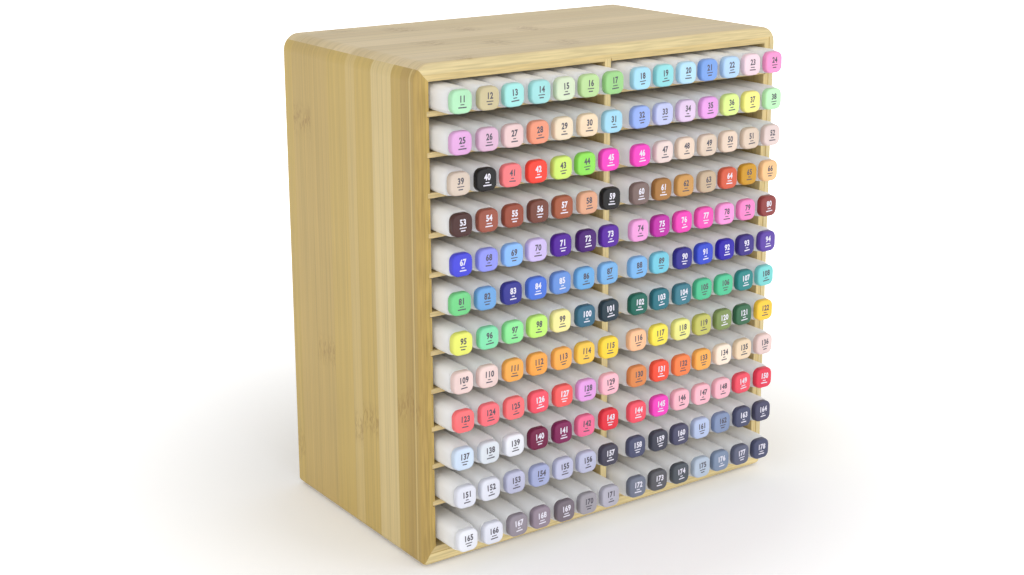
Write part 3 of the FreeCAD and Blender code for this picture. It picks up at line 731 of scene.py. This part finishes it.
def marker_set(row, side, chance):
    """Seven markers in their bay: bodies, coloured plugs and printed numbers."""
    node = f"marker_set_{row:02d}_{side}"
    low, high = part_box(node)
    inks = MARKER_INKS[side][row - 1].split()
    first_number = FIRST_NUMBER + (2 * (row - 1) + SIDES.index(side)) * PER_SET
    pitch = (high.x - low.x - MARKER_SIDE) / (PER_SET - 1)
    bodies = bmesh.new()
    plugs = bmesh.new()
    prints = bmesh.new()
    plastics = []
    for place in range(PER_SET):
        ink = inks[place]
        aside = chance.uniform(-MOST_ASIDE, MOST_ASIDE)
        sunk = chance.uniform(0.0, 1.0) * MOST_SUNK
        origin = low + Vector((MARKER_SIDE / 2 + place * pitch + aside, sunk, MARKER_SIDE / 2))
        loft(bodies, BODY_STATIONS, origin, 0)
        plastics.append(plug_plastic(ink))
        loft(plugs, PLUG_STATIONS, origin, place)
        loft(plugs, BACK_PLUG_STATIONS, origin, place)
        slot = 1 if brightness(INK[ink]) < DARK_CAP else 0
        tilt = math.radians(chance.uniform(-MOST_TILT, MOST_TILT))
        bars = chance.choice(BAR_PAIRS)
        add_print(prints, first_number + place, origin, tilt, bars, slot)
    pieces = {
        "marker_barrel": to_object(bodies, f"marker_barrels_{row:02d}_{side}", [BARREL]),
        "marker_plug": to_object(plugs, f"marker_plugs_{row:02d}_{side}", plastics),
        "marker_print": to_object(prints, f"marker_numbers_{row:02d}_{side}", [DARK_PRINT, PALE_PRINT]),
    }
    for slot_name, piece in pieces.items():
        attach(piece, node)
    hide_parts(node)
    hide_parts(node)


# ---------------------------------------------------------------------------
# Finishes of the CAD pieces
# ---------------------------------------------------------------------------


def paint(material, *nodes):
    """Give CAD pieces a material, and smooth shading across their rounded edges."""
    for node in nodes:
        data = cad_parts[node].data
        data.materials.clear()
        data.materials.append(material)
        data.shade_smooth()
        data.set_sharp_from_angle(angle=math.radians(30.0))


# The left side as the photo shows it: where each strip starts, its tone and its knuckle's height.
LEFT_SIDE_STRIPS = (
    (-79.0, "toast", 96.0),
    (-73.4, "honey", 390.0),
    (-72.0, "toast", 101.0),
    (-63.0, "amber", 94.0),
    (-53.0, "light", 384.0),
    (-30.5, "golden", 76.0),
    (-11.0, "honey", 66.0),
    (-0.6, "golden", 376.0),
    (21.5, "tan", 106.0),
    (44.0, "tan", 250.0),
    (66.0, "golden", 30.0),
)


class Board(NamedTuple):
    """Boards of one bamboo: the axes of its fibres and strips, where strips start, and the tones."""

    name: str
    along: str
    across: str
    start: float
    knuckle: float
    edge: str
    tones: str
    nodes: list


def dress_case():
    """Bamboo on the case, its liner, its shelves and its back."""
    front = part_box("left_side_board")[0].y / MM
    left = cad_bounds[0][0] / MM
    paint(bamboo("bamboo_left_side", "Z", "Y", LEFT_SIDE_STRIPS, "toast", "X"), "left_side_board")
    shelves = [f"shelf_{number:02d}" for number in range(1, ROWS)]
    floor_panels = [f"floor_panel_{side}" for side in SIDES]
    upright_tones = "light pale honey light pale honey light pale"
    boards = (
        Board("right_side", "Z", "Y", front - 6.0, 168.0, "cream",
              "golden light honey golden pale honey golden light", ["right_side_board"]),
        Board("top", "X", "Y", front - 9.0, -50.0, "cream",
              "sand rose sand biscuit rose sand biscuit sand", ["top_board"]),
        Board("bottom", "X", "Y", front - 3.0, 40.0, "straw",
              "golden honey amber golden light golden honey golden", ["bottom_board"]),
        Board("left_liner", "Z", "Y", front, 120.0, "amber", upright_tones, ["left_liner"]),
        Board("right_liner", "Z", "Y", front, 120.0, "light", upright_tones, ["right_liner"]),
        Board("divider", "Z", "Y", front, 120.0, "straw", upright_tones, ["centre_divider"]),
        Board("level_liner", "X", "Y", front, 30.0, "light",
              "light honey pale light honey pale light honey", ["top_liner", "bottom_liner"]),
        Board("shelf", "X", "Y", front, 70.0, "pale",
              "pale light pale straw light pale light pale", shelves + floor_panels),
        Board("back", "Z", "X", left - 8.0, 150.0, None,
              "honey golden light honey amber golden light golden honey light golden amber honey golden",
              ["back_panel"]),
    )
    for board in boards:
        edge_across = "Z" if board.along == "X" else "X"
        strips = even_strips(board.start, board.tones, board.knuckle)
        name = f"bamboo_{board.name}"
        finish = bamboo(name, board.along, board.across, strips, board.edge, edge_across)
        paint(finish, *board.nodes)


def dress_turntable():
    """Steel, rubber and nylon on the turntable and its fixings."""
    paint(rubber("pad_rubber"), "anti_slip_pad")
    plates = turned_steel("plate_steel", (176, 178, 182), 0.34, 2600.0)
    paint(plates, "turntable_lower_plate", "turntable_upper_plate")
    paint(turned_steel("fixing_steel", (190, 190, 194), 0.28, 5200.0), "plate_screws", "centre_rivet")
    paint(turned_steel("brad_steel", (172, 168, 160), 0.4, 900.0), "back_panel_brads")
    paint(turned_steel("ball_steel", (206, 208, 212), 0.14, 400.0), "bearing_balls")
    paint(moulded("nylon", (228, 228, 220), rough=0.45, glow=0.1), "ball_cage", "rivet_washer")


# ---------------------------------------------------------------------------
# Floor, light and camera
# ---------------------------------------------------------------------------


WORLD_LIGHT = 0.68
FLOOR_RADIUS = 6.0
# Out from the spin axis, the floor's own white goes from a little at one radius to all at the other.
FLOOR_LIFT = 0.15
FLOOR_SHADED = 0.17
FLOOR_WHITE = 0.62


def seen_directly(tree):
    """1 where the camera, a reflection or glass looks at a surface, 0 where it only lights others."""
    path = tree.nodes.new("ShaderNodeLightPath")
    seen = path.outputs["Is Camera Ray"]
    for kind in ("Is Glossy Ray", "Is Transmission Ray"):
        either = tree.nodes.new("ShaderNodeMath")
        either.operation = "MAXIMUM"
        tree.links.new(seen, either.inputs[0])
        tree.links.new(path.outputs[kind], either.inputs[1])
        seen = either.outputs[0]
    return seen


def white_world():
    """A white background that lights the object only softly."""
    world = bpy.data.worlds.new("studio")
    bpy.context.scene.world = world
    world.use_nodes = True
    tree = world.node_tree
    back = tree.nodes["Background"]
    back.inputs["Color"].default_value = (1.0, 1.0, 1.0, 1.0)
    strength = tree.nodes.new("ShaderNodeMapRange")
    tree.links.new(seen_directly(tree), strength.inputs["Value"])
    strength.inputs["To Min"].default_value = WORLD_LIGHT
    strength.inputs["To Max"].default_value = 1.0
    tree.links.new(strength.outputs["Result"], back.inputs["Strength"])


def floor():
    """A wide pale floor that keeps the object's soft shadow and turns to plain white further out."""
    mesh = bmesh.new()
    bmesh.ops.create_circle(mesh, cap_ends=True, segments=64, radius=FLOOR_RADIUS)
    shader = Shader("pale_floor")
    place = shader.node("ShaderNodeTexCoord")
    drift = shader.noise(place.outputs["Object"], scale=3.0, detail=2.0)
    colour = shader.mix(drift, (0.88, 0.88, 0.88, 1.0), (0.92, 0.92, 0.92, 1.0))
    distance = shader.node("ShaderNodeVectorMath", operation="LENGTH")
    shader.join(place.outputs["Object"], distance.inputs[0])
    lift = shader.remap(distance.outputs["Value"], FLOOR_SHADED, FLOOR_WHITE, FLOOR_LIFT, 1.0)
    shader.set(Base_Color=colour, Roughness=0.7, Specular_IOR_Level=0.2)
    shader.set(Emission_Color=(1.0, 1.0, 1.0, 1.0))
    shader.set(Emission_Strength=shader.math("MULTIPLY", lift, seen_directly(shader.tree)))
    made = to_object(mesh, "floor", [shader.material])


def soft_light(name, place, target, size, power):
    """A round area lamp that faces the target: its diameter in metres and its power in watts."""
    lamp = bpy.data.lights.new(name, "AREA")
    lamp.shape = "DISK"
    lamp.size = size
    lamp.energy = power
    holder = bpy.data.objects.new(name, lamp)
    holder.location = place
    holder.rotation_euler = (Vector(target) - Vector(place)).to_track_quat("-Z", "Y").to_euler()
    bpy.context.scene.collection.objects.link(holder)


def lights():
    """A key high on the right, a low front light that reaches into the bays, and a fill on the left."""
    middle = (0.0, 0.0, 0.15)
    soft_light("key_light", (0.95, -1.6, 0.9), middle, size=1.2, power=7.5)
    soft_light("front_light", (-0.3, -2.0, 0.4), middle, size=1.6, power=14.0)
    soft_light("fill_light", (-1.7, -0.7, 0.5), middle, size=1.3, power=6.0)


# The camera as fitted to the case's edges: its place from the case's lower left front corner in
# metres, and its yaw, its tip down and its roll in degrees.
CAMERA_FROM_CORNER = Vector((-0.4607, -0.7481, 0.4359))
CAMERA_YAW = 35.09
CAMERA_TIP = 14.03
CAMERA_ROLL = -0.189
CAMERA_LENS = 56.8
CAMERA_SHIFT = -0.0737


def camera():
    """The photo's view, from the left front and a little above."""
    lens = bpy.data.cameras.new("camera")
    lens.sensor_width = 36.0
    lens.lens = CAMERA_LENS
    lens.shift_y = CAMERA_SHIFT
    holder = bpy.data.objects.new("camera", lens)
    turn = math.radians(CAMERA_YAW)
    tip = math.radians(CAMERA_TIP)
    level = math.cos(tip)
    forward = Vector((math.sin(turn) * level, math.cos(turn) * level, -math.sin(tip)))
    side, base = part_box("left_side_board")[0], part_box("bottom_board")[0]
    corner = Vector((side.x, side.y, base.z))
    holder.location = corner + CAMERA_FROM_CORNER
    holder.rotation_euler = forward.to_track_quat("-Z", "Y").to_euler()
    holder.rotation_euler.rotate_axis("Z", math.radians(CAMERA_ROLL))
    bpy.context.scene.collection.objects.link(holder)
    bpy.context.scene.camera = holder


# ---------------------------------------------------------------------------
# The scene
# ---------------------------------------------------------------------------

RANDOM_START = 7

bpy.context.scene.view_settings.view_transform = "Standard"
dress_case()
dress_turntable()
chance = random.Random(RANDOM_START)
for row in range(1, ROWS + 1):
    for side in SIDES:
        marker_set(row, side, chance)
white_world()
floor()
lights()
camera()
